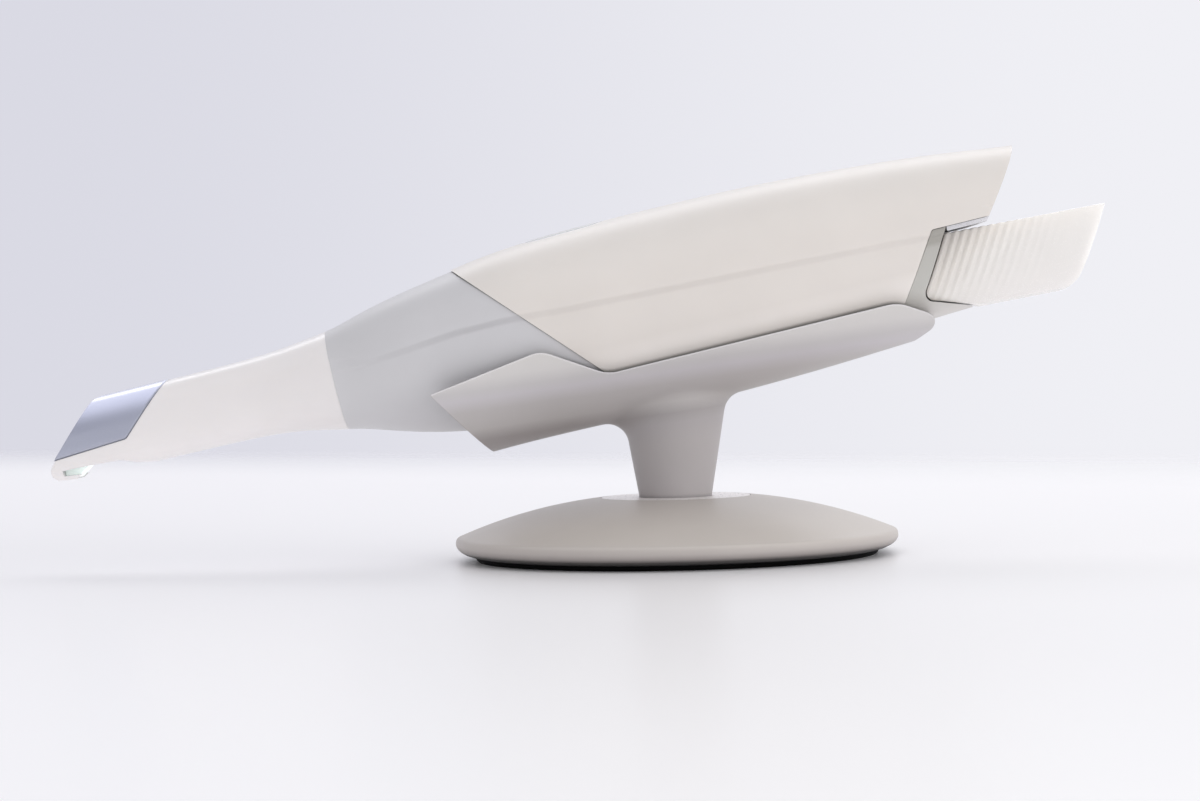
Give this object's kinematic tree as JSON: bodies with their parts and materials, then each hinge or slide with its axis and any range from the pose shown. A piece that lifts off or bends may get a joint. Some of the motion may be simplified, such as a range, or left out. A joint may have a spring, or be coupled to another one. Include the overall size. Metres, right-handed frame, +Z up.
{
  "type": "intraoral scanner",
  "caption": "Cordless intraoral scanner with a pull-off mirror sleeve and a plug-in battery, resting nose down in a cradle on a round weighted stand.",
  "frame": {"origin": "centre of the round foot's underside, on the table under the stem", "axes": "+Z up, +X towards the battery end of the scanner, +Y to the scanner's left side seen from its battery end; the scanner lies in the XZ plane, nose down at 12.4 degrees"},
  "size_m": [0.2668, 0.1132, 0.103],
  "materials": {
    "white_plastic": "satin warm white moulded plastic",
    "sleeve_plastic": "satin white medical plastic",
    "cap_metal": "blue-grey metallic lacquer, satin",
    "tip_glass": "coated optical glass with a faint green edge",
    "mirror_glass": "front-silvered mirror",
    "grey_plastic": "light grey satin moulded plastic",
    "tail_grey": "warm grey satin moulded plastic",
    "silver_trim": "satin anodised trim",
    "black_anodised": "black anodised",
    "lens_glass": "coated lens glass",
    "board_green": "green circuit board",
    "chip_black": "black moulded chip package",
    "lamp_white": "lamp body",
    "chassis_metal": "bare die-cast aluminium",
    "screw_steel": "bright zinc-plated steel",
    "contact_gold": "gold-plated contact",
    "connector_black": "black connector plastic",
    "ring_clear": "frosted light guide",
    "button_grey": "soft satin light grey",
    "battery_white": "translucent white moulded plastic",
    "cell_foil": "cell can",
    "stand_grey": "warm grey satin lacquer",
    "base_grey": "warm grey satin lacquer",
    "disc_satin": "satin metal inlay",
    "weight_steel": "turned steel weight",
    "foot_rubber": "black rubber"
  },
  "bodies": {
    "root": {"front_housing": "grey_plastic", "nose_tube": "black_anodised", "front_window": "lens_glass", "lens_barrel": "black_anodised", "objective_lens": "lens_glass", "relay_lens": "lens_glass", "field_lens": "lens_glass", "optics_block": "black_anodised", "beam_splitter": "lens_glass", "camera_board": "board_green", "image_sensor": "chip_black", "projector_lens": "lens_glass", "projector_board": "board_green", "projector_lamp": "lamp_white", "chassis": "chassis_metal", "chassis_screws": "screw_steel", "rear_housing": "tail_grey", "bay_pins": "contact_gold", "bay_connector": "connector_black", "tail_plate": "silver_trim", "top_shell": "white_plastic", "status_ring": "ring_clear", "button_board": "board_green", "button_switch": "connector_black", "button_screws": "screw_steel", "main_board": "board_green", "board_screws": "screw_steel", "processor_chip": "chip_black", "memory_chips": "chip_black", "heat_spreader": "black_anodised", "haptic_motor": "screw_steel", "antenna_board": "board_green", "cradle": "stand_grey", "base_cap": "base_grey", "base_disc": "disc_satin", "base_weight": "weight_steel", "foot_pad": "foot_rubber", "stand_washer": "screw_steel", "stand_bolt": "screw_steel"},
    "sleeve": {"sleeve_shell": "sleeve_plastic", "tip_cap": "cap_metal", "tip_mirror": "mirror_glass", "tip_window": "tip_glass"},
    "battery": {"battery_case": "battery_white", "battery_carrier": "battery_white", "battery_contacts": "contact_gold", "battery_board": "board_green", "battery_cell_left": "cell_foil", "battery_cell_right": "cell_foil"},
    "button": {"scan_button": "button_grey"}
  },
  "joints": [
    {"name": "sleeve_pull", "type": "slide", "parent": "root", "child": "sleeve", "axis": [-0.9767, 0, -0.2147], "range_m": [0, 0.064]},
    {"name": "battery_pull", "type": "slide", "parent": "root", "child": "battery", "axis": [0.9767, 0, 0.2147], "range_m": [0, 0.064]},
    {"name": "button_press", "type": "slide", "parent": "root", "child": "button", "axis": [0.2147, 0, -0.9767], "range_m": [0, 0.0006], "stiffness_N_per_m": 600, "springref_m": -0.0006}
  ]
}
